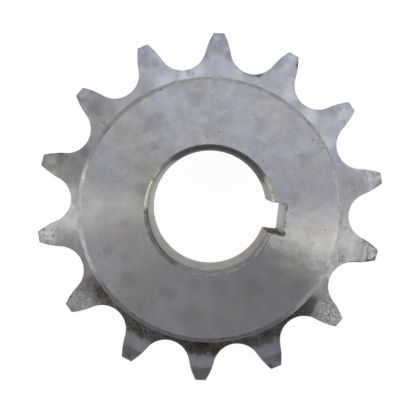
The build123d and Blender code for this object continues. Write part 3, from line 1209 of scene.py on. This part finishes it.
# %% [markdown]
# ## The chamfers
#
# A hand-held tool chatters as it goes round an edge, and the chatter is what an eased edge
# shows first. Both chamfers also carry painted highlights along their corners, dirt in their
# nicks, and painted shade on the bore's lip. The mesh marks those along its edges as glint
# and as dirt and shade, so here they only need to be broken up into strokes.

# %% What the chamfers share
def edge_layers(tree, place, way):
    """Patterns that both chamfers share: chatter, blotches, dots, strokes, dirt with painted shade, and
    painted highlights.
    """
    chatter = stretched(tree, place, (2.2, 2.2, 1.0), 2.0)
    blotch = cloud(tree, place, 1.6, 2.5)
    dots = pricks(tree, place, 0.9, 0.16, 0.25, flat=False)
    strokes = cloud(tree, way, 0.02, 2.6)
    dirt_and_shade = add(tree, "Attribute", out="Fac", attribute_name="dirt_and_shade")
    glint = add(tree, "Attribute", out="Fac", attribute_name="glint")
    broken = add(tree, "Math", {0: strokes, 1: 0.5, 2: 0.6}, operation="MULTIPLY_ADD")
    return chatter, blotch, dots, strokes, dirt_and_shade, meeting(tree, glint, broken)


# %% [markdown]
# ## Chamfered steel
#
# The hub's chamfer was eased with a hand tool and has been slid about on since, so it is
# duller than the face. Oil has dried yellow on the outer half of its upper side, and olive a
# little further round. Its lower side is painted dark grey, and two other places are painted
# a little darker: painted shade.

# %% Chamfered steel
name, tree = new_steel("chamfered steel")
place = part_mm(tree)
radius, way = polar(tree, place)[1:]
chatter, blotch, dots, strokes, dirt_and_shade, glint = edge_layers(tree, place, way)
outer_half = add(tree, "MapRange", {"Value": radius, "From Min": 26.55, "From Max": 26.8})
patchy = add(tree, "Math", {0: blotch, 1: 0.7, 2: 0.45}, operation="MULTIPLY_ADD")
yellow = meeting(tree, arc(tree, way, 290, 42, 8), outer_half, patchy)
olive = arc(tree, way, 231, 12, 6)
# Painted shade: the lower side darkened, and two other sides a little.
lower_shade = arc(tree, way, 101, 43, 9)
right_shade = arc(tree, way, 351, 14, 5)
left_shade = arc(tree, way, 211, 8, 3)
layered_steel(
    name, tree, (blotch, "#B4B5BB", "#A6A6A8"),
    [(yellow, 0.5, "#96967E"), (olive, 0.4, "#7C7A6C"), (lower_shade, 0.58, "#62605E"),
     (right_shade, 0.25, "#868692"), (left_shade, 0.5, "#868488"), (chatter, 0.2, "#6E6C66"),
     (strokes, 0.12, "#6E6C66"), (dots, 0.6, "#4A463C"), (dirt_and_shade, 0.8, "#35312A"),
     (glint, 0.45, "#EEEEF0")],
    0.46, [(blotch, 0.06), (dots, 0.15)],
    [(radius, -LEAN), (chatter, 0.03), (blotch, 0.03), (dots, -0.02)], AROUND_AXIS)

# %% [markdown]
# ## Countersunk steel
#
# The bore's chamfer was cut with a countersink that rubbed more than it cut, so it is
# burnished dark. It is painted bright on its left, beside the keyway and a little below it,
# and half bright along its inner edge below: painted highlights. Its top is painted darker:
# painted shade. A thin crust has dried on between.

# %% Countersunk steel
name, tree = new_steel("countersunk steel")
place = part_mm(tree)
radius, way = polar(tree, place)[1:]
chatter, blotch, dots, strokes, dirt_and_shade, glint = edge_layers(tree, place, way)
inner_half = add(tree, "MapRange", {"Value": radius, "From Min": 12.95, "From Max": 13.2,
                                    "To Min": 1.0, "To Max": 0.0})
streaky = add(tree, "Math", {0: strokes, 1: 0.7, 2: 0.45}, operation="MULTIPLY_ADD")
# Painted highlights on several sides and along the inner edge; the shaded arc is painted shade at the top.
left_highlight = meeting(tree, arc(tree, way, 197.5, 14.5, 2), streaky)
key_highlight = meeting(tree, arc(tree, way, 351, 19, 5), streaky)
low_inner_light = meeting(tree, arc(tree, way, 80, 38, 8), inner_half)
key_inner_light = meeting(tree, arc(tree, way, 345, 10, 3), inner_half)
crust = meeting(tree, cloud(tree, place, 0.9, 3.0, shift=(5, 3, 0)), arc(tree, way, 152, 26, 8))
yellow = arc(tree, way, 199, 12, 8)
shaded = arc(tree, way, 285, 32, 16)
below_key_light = arc(tree, way, 28, 10, 10)
upper_left_light = arc(tree, way, 219, 11, 6)
layered_steel(
    name, tree, (blotch, "#8C8C8E", "#7E7B76"),
    [(shaded, 0.3, "#4A443C"), (left_highlight, 0.8, "#E0E0DC"), (upper_left_light, 0.75, "#C4C4C2"),
     (key_highlight, 0.9, "#DCDCD6"), (below_key_light, 0.6, "#C0BEBA"), (low_inner_light, 0.55, "#B8B8BA"),
     (key_inner_light, 0.6, "#E0E0DC"), (crust, 0.38, "#45423E"), (yellow, 0.3, "#BCBC9C"),
     (chatter, 0.3, "#55524E"), (dots, 0.5, "#3A3630"), (dirt_and_shade, 0.9, "#262220"),
     (glint, 0.9, "#F4F4F2")],
    0.44, [(blotch, 0.06), (dots, 0.15)],
    [(radius, -LEAN), (chatter, 0.07), (blotch, 0.03), (dots, -0.02)], AROUND_AXIS, dirt_and_shade)

# %% [markdown]
# ## Turned steel on the sides
#
# The hub's side and the tooth tips were turned along the bar, so their rings climb it like
# a fine thread. The marks run round the axis here too. The real thread is too fine to show,
# so it is drawn with a little over two rings to the millimetre.

# %% Turned side
name, tree = new_steel("turned steel, side")
place = part_mm(tree)
radius, way = polar(tree, place)[1:]
z = add(tree, "SeparateXYZ", {0: place}, out="Z")
rings_cut = tool_rings(tree, radius, way, z, 2.4)
films = cloud(tree, place, 8.0, 2.2)
patches = cloud(tree, place, 2.8, 1.8)
dots = pricks(tree, place, 1.6, 0.16, 0.3, flat=False)
layered_steel(
    name, tree, (films, "#A2A3A8", "#A29F9A"),
    [(patches, 0.18, "#6A6A6E"), (rings_cut, 0.16, "#6A6A6E"), (dots, 0.6, "#3C3A34")],
    0.34, [(patches, 0.08), (dots, 0.2)],
    [(rings_cut, 0.02), (patches, 0.02), (dots, -0.02)], AROUND_AXIS)

# %% [markdown]
# ## Hobbed steel
#
# A hob cuts a gap with many small overlapping bites while it feeds across the plate. Its
# feed leaves shallow scallops a millimetre or so apart, and each bite leaves a narrow flat
# along the tooth. The eye sees a cross-hatched wall, a little duller than turned steel.

# %% Hobbed steel
HOB_FEED = 1.2
name, tree = new_steel("hobbed steel")
place = part_mm(tree)
z = add(tree, "SeparateXYZ", {0: place}, out="Z")
drift = add(tree, "TexNoise", {"Vector": place, "Scale": 0.15, "Detail": 1.0})
phase = add(tree, "Math", {0: z, 1: 1 / HOB_FEED, 2: drift}, operation="MULTIPLY_ADD")
scallop = add(tree, "Math", {0: phase, 1: 1.0}, operation="PINGPONG")
bites = stretched(tree, place, (2.2, 2.2, 0.12), 2.0)
films = cloud(tree, place, 5.0, 2.2)
patches = cloud(tree, place, 1.8, 2.0)
dirt_and_shade = add(tree, "Attribute", out="Fac", attribute_name="dirt_and_shade")
layered_steel(
    name, tree, (films, "#9EA0A4", "#9C9890"),
    [(patches, 0.25, "#66645F"), (bites, 0.2, "#66666A"), (scallop, 0.1, "#66666A"),
     (dirt_and_shade, 0.8, "#2A2622")],
    0.38, [(patches, 0.08)],
    [(scallop, 0.02), (bites, 0.03), (patches, 0.01)], ALONG_AXIS)

# %% [markdown]
# ## Bored steel
#
# The bore was opened with a boring bar, which leaves rings like a facing tool's, and shafts
# have since scored it lightly along the axis. Its left side is painted lighter, and its top
# side darker and less metallic: painted light and painted shade. A little rust has started
# beside the keyway. Grime sits near its mouth. The rings are drawn coarser than they are,
# three to the millimetre.

# %% Bored steel
name, tree = new_steel("bored steel")
place = part_mm(tree)
radius, way = polar(tree, place)[1:]
z = add(tree, "SeparateXYZ", {0: place}, out="Z")
rings_cut = tool_rings(tree, radius, way, z, 3.0)
scores = stretched(tree, place, (2.0, 2.0, 0.06), 3.0)
films = cloud(tree, place, 5.0, 2.4)
patches = cloud(tree, place, 2.0, 2.0)
# Painted light on the left side and painted shade at the top.
lit_side = arc(tree, way, 200, 22, 8)
shaded_side = arc(tree, way, 284, 46, 8)
rusty_side = arc(tree, way, 32, 10, 8)
by_mouth = add(tree, "MapRange", {"Value": z, "From Min": 19.0, "From Max": 24.4},
               interpolation_type="SMOOTHSTEP")
grimy = meeting(tree, by_mouth, arc(tree, way, 110, 75, 10))
soil = add(tree, "Math", {0: shaded_side, 1: 0.55}, operation="MULTIPLY")
soil = add(tree, "Math", {0: grimy, 1: 0.25, 2: soil}, operation="MULTIPLY_ADD")
layered_steel(
    name, tree, (films, "#A3A2A2", "#9C948A"),
    [(shaded_side, 0.5, "#4A4230"), (grimy, 0.3, "#6E6C6A"), (rusty_side, 0.3, "#7A5246"),
     (lit_side, 0.3, "#DCDAD4"), (patches, 0.25, "#66625C"), (scores, 0.25, "#6A6660"),
     (rings_cut, 0.1, "#6A6A6E")],
    0.36, [(patches, 0.1)],
    [(rings_cut, 0.015), (scores, 0.01), (patches, 0.01)], AROUND_AXIS, soil)

# %% [markdown]
# ## Broached steel
#
# The keyway was broached: a toothed blade pulled along the axis, which tears the walls in
# long scores. Old grease has stayed in the torn places. It is thickest on the keyway's two
# side walls, whose normals lie along Y, and thin on its floor.

# %% Broached steel
name, tree = new_steel("broached steel")
place = part_mm(tree)
scores = stretched(tree, place, (3.0, 3.0, 0.08), 3.0)
along_key = add(tree, "VectorMath", {0: place, 1: (1.0, 1.0, 0.4)}, operation="MULTIPLY")
torn = cloud(tree, along_key, 0.7, 3.5)
patches = cloud(tree, place, 1.8, 2.0)
dirt_and_shade = add(tree, "Attribute", out="Fac", attribute_name="dirt_and_shade")
side_wall = add(tree, "SeparateXYZ", {0: add(tree, "TexCoord", out="Normal")}, out="Y")
side_wall = add(tree, "Math", {0: side_wall}, operation="ABSOLUTE")
torn_side = meeting(tree, torn, side_wall)
soil = add(tree, "Math", {0: side_wall, 1: 0.35, 2: torn_side}, operation="MULTIPLY_ADD")
soil = add(tree, "Math", {0: soil, 1: 0.3}, operation="ADD")
soil = add(tree, "Math", {0: soil, 1: dirt_and_shade}, operation="MAXIMUM")
layered_steel(
    name, tree, (patches, "#A8A6A2", "#827E78"),
    [(scores, 0.3, "#68645E"), (side_wall, 0.75, "#46413B"), (torn_side, 0.85, "#201D1A"),
     (dirt_and_shade, 0.9, "#2A2420")],
    0.40, [(torn_side, 0.2)],
    [(scores, 0.03), (torn_side, -0.08)], ALONG_AXIS, soil)

# %% [markdown]
# ## Which finish goes where
#
# Every band of rings was named when it was added, so a face's finish follows from its ring.
# Two things cross the bands. The keyway's walls are broached from end to end, and the tips
# of the teeth, which the hob never touched, are still as they were turned.

# %% Which finish goes where
names = [material.name for material in skin.materials]
finishes = {"hole mouth": "countersunk steel", "face": "turned steel", "hub edge": "chamfered steel",
            "hub side": "turned steel, side", "plate": "turned steel", "flank": "hobbed steel",
            "back": "turned steel", "hole": "bored steel"}
finish = np.array([names.index(finishes[band]) for band in bands[1:] + ["hole"]])
finish = np.repeat(finish[:, None], around, 1)
both_in_key = in_key + np.roll(in_key, -1) > 1.5
on_wall = finish == names.index("bored steel")
on_mouth = finish == names.index("countersunk steel")
finish[(on_wall | on_mouth) & both_in_key] = names.index("broached steel")
on_tip = np.minimum(outline_radius, np.roll(outline_radius, -1)) > tip_radius - tiny
finish[(finish == names.index("hobbed steel")) & on_tip] = names.index("turned steel, side")
skin.polygons.foreach_set("material_index", finish.ravel().astype(np.int32))
skin.update()
for slot, name in enumerate(names):
    print(f"{name}: {int((finish == slot).sum())} faces")

# %% [markdown]
# ## The floor
#
# The sprocket lies on its back on a wide sheet, which catches its shadow. The sheet lies a
# hair below it, so that the two surfaces never share a plane.

# %% Floor
FLOOR_HALF = 3.0
floor_drop = 0.02 * MM
floor_corners = FLOOR_HALF * np.array([(-1, -1), (1, -1), (1, 1), (-1, 1)])
floor_mesh = bpy.data.meshes.new("floor")
floor_mesh.from_pydata([(x, y, -floor_drop) for x, y in floor_corners], [], [(0, 1, 2, 3)])
floor = bpy.data.objects.new("floor", floor_mesh)
bpy.context.scene.collection.objects.link(floor)
print(f"floor {2 * FLOOR_HALF:.0f} m wide, {1000 * floor_drop:.2f} mm below the part")

# %% [markdown]
# The sheet is white to whatever looks at it, which is the camera or a reflection in the
# steel. A surface bright enough for that would also light everything dull from below. So the
# paper itself is a plain grey, which takes the shadow, and a glow is added to it only for
# the rays that look at it. A Light Path node tells those rays from the rest.

# %% White paper
def seen_directly(tree):
    """1 for rays that come from the camera, from a reflection or through glass, else 0."""
    seen = add(tree, "LightPath", out="Is Camera Ray")
    for kind in ("Is Glossy Ray", "Is Transmission Ray"):
        seen = add(tree, "Math", {0: seen, 1: add(tree, "LightPath", out=kind)}, operation="MAXIMUM")
    return seen


white = bpy.data.materials.new("white paper")
white.use_nodes = True
tree = white.node_tree
tree.nodes.clear()
paper = add(tree, "BsdfDiffuse", {"Color": linear("#505050")})
glow = add(tree, "Emission", {"Color": linear("#FFFFFF"), "Strength": 0.96})
hidden = add(tree, "Emission", {"Strength": 0.0})
shown = add(tree, "MixShader", {0: seen_directly(tree), 1: hidden, 2: glow})
add(tree, "OutputMaterial", {0: add(tree, "AddShader", {0: paper, 1: shown})})
floor_mesh.materials.append(white)
print(f"white paper: {len(tree.nodes)} nodes")

# %% [markdown]
# ## The room
#
# Bare steel shows the room more than itself. The walls are a soft light that is
# strongest near the floor and stronger at the top of the picture than at its bottom, and it
# gives the rims their gentle falling off. Just above the floor the sheet seems to go on as
# a white backdrop, for reflections at a grazing angle. The camera itself sees only white.

# %% Room
BACKDROP_TOP = 0.16
world = bpy.data.worlds.new("studio")
bpy.context.scene.world = world
world.use_nodes = True
tree = world.node_tree
tree.nodes.clear()
way = add(tree, "TexCoord", out="Generated")
height = add(tree, "SeparateXYZ", {0: way}, out="Z")
walls = add(tree, "MapRange", {"Value": height, "From Min": 0.05, "From Max": 0.4,
                               "To Min": 0.35, "To Max": 0.03}, interpolation_type="SMOOTHSTEP")
side = add(tree, "VectorMath", {0: way, 1: upward}, out="Value", operation="DOT_PRODUCT")
side = add(tree, "Math", {0: side, 1: 0.4, 2: 0.6}, operation="MULTIPLY_ADD")
backdrop = add(tree, "MapRange", {"Value": height, "From Min": BACKDROP_TOP, "From Max": BACKDROP_TOP + 0.08,
                                  "To Min": 1.0, "To Max": 0.0}, interpolation_type="SMOOTHSTEP")
amount = meeting(tree, walls, side)
for light in (meeting(tree, backdrop, seen_directly(tree)), add(tree, "LightPath", out="Is Camera Ray")):
    amount = add(tree, "Math", {0: amount, 1: light}, operation="MAXIMUM")
sky = add(tree, "Background", {"Color": linear("#FFFFFF"), "Strength": amount})
add(tree, "OutputWorld", {0: sky})
bpy.context.scene.view_settings.view_transform = "Standard"
print(f"studio: {len(tree.nodes)} nodes")

# %% [markdown]
# ## The lamps
#
# On turned rings every lamp becomes a bright fan that points at it, so the lamps are placed
# where the fans should be. Each is a soft box one metre away, turned towards the part, and
# its power follows from its area, so that a box can be resized without changing how bright
# it looks. A strong tall box on the right and one on the left make the two main fans. The
# overhead one is long across the picture and lights the rest of the face.

# %% Lamps
LAMP_DISTANCE = 1.0
OVERHEAD = 1.0


def softbox(name, azimuth, tilt, width, tall, radiance, colour):
    """A soft lamp: azimuth is anticlockwise from the picture's right, tilt is from overhead."""
    turn, lean = np.radians(azimuth), np.radians(tilt)
    toward = in_picture(np.sin(lean) * np.cos(turn), np.sin(lean) * np.sin(turn), np.cos(lean))
    light = bpy.data.lights.new(name, "AREA")
    light.shape = "RECTANGLE"
    light.size = width
    light.size_y = tall
    light.energy = radiance * np.pi * width * tall
    light.color = colour
    lamp = bpy.data.objects.new(name, light)
    top = above if tilt > OVERHEAD else upward
    lamp.matrix_world = look_at(toward * LAMP_DISTANCE, Vector((0, 0, 0)), top)
    bpy.context.scene.collection.objects.link(lamp)


# name, azimuth and tilt in degrees, width and height in metres, radiance, colour
LAMPS = [("key", 90, 20, 2.2, 0.14, 5.35, (0.97, 1.0, 0.98)),
         ("top_fill", 88, 50, 1.0, 0.6, 1.45, (0.82, 0.87, 1.0)),
         ("corner_right", 38, 48, 0.4, 0.4, 0.8, (0.75, 0.70, 1.0)),
         ("corner_left", 142, 55, 0.5, 0.4, 0.5, (1.0, 1.0, 1.0)),
         ("right_main", -18, 40, 0.2, 0.4, 7.2, (1.0, 0.99, 0.89)),
         ("right_fill", 5, 42, 0.36, 0.35, 3.1, (0.90, 0.92, 1.0)),
         ("left_main", 179, 42, 0.14, 0.4, 5.6, (0.99, 1.0, 0.97)),
         ("left_fill", 200, 45, 0.55, 0.4, 2.0, (1.0, 0.97, 0.93)),
         ("low_left", 232, 28, 0.4, 0.4, 0.4, (1.0, 0.90, 0.75)),
         ("bottom_fill", 275, 26, 0.7, 0.35, 0.6, (0.95, 0.93, 1.0))]
for lamp_settings in LAMPS:
    softbox(*lamp_settings)
print(len(LAMPS), "lamps")
